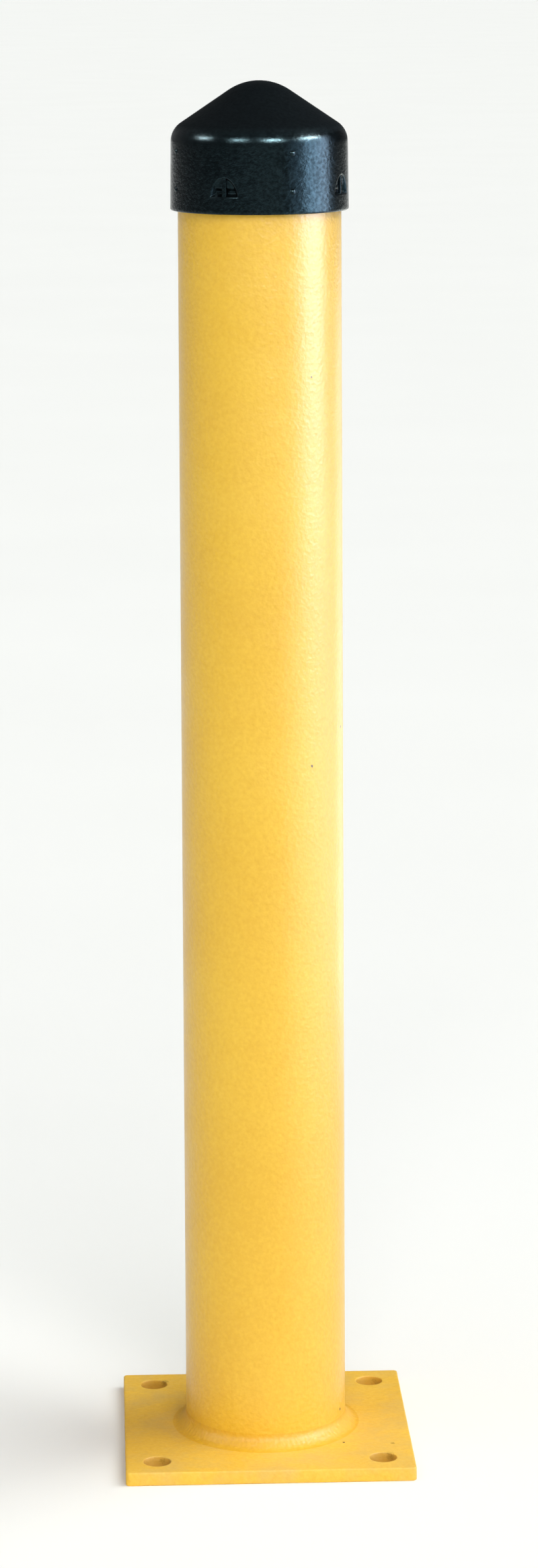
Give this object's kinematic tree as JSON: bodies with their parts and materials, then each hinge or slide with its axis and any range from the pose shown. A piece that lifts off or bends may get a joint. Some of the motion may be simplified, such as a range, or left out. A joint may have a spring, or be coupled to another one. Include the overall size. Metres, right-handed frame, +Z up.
{
  "type": "steel bollard post",
  "caption": "Round steel tube welded upright on a square drilled base plate, with a black conical cap that has chain slots in its skirt.",
  "frame": {"origin": "middle of the base plate's underside", "axes": "+Z up along the tube, -Y towards the front as pictured, +X to the right; the plate's edges run along X and Y"},
  "size_m": [0.2032, 0.2032, 0.9733],
  "materials": {
    "yellow_paint": "glossy safety-yellow paint with fine orange peel",
    "black_plastic": "moulded, semi-gloss, finely pebbled"
  },
  "bodies": {
    "root": {"base_plate": "yellow_paint", "post_tube": "yellow_paint", "weld_bead": "yellow_paint", "cap": "black_plastic"}
  },
  "joints": []
}
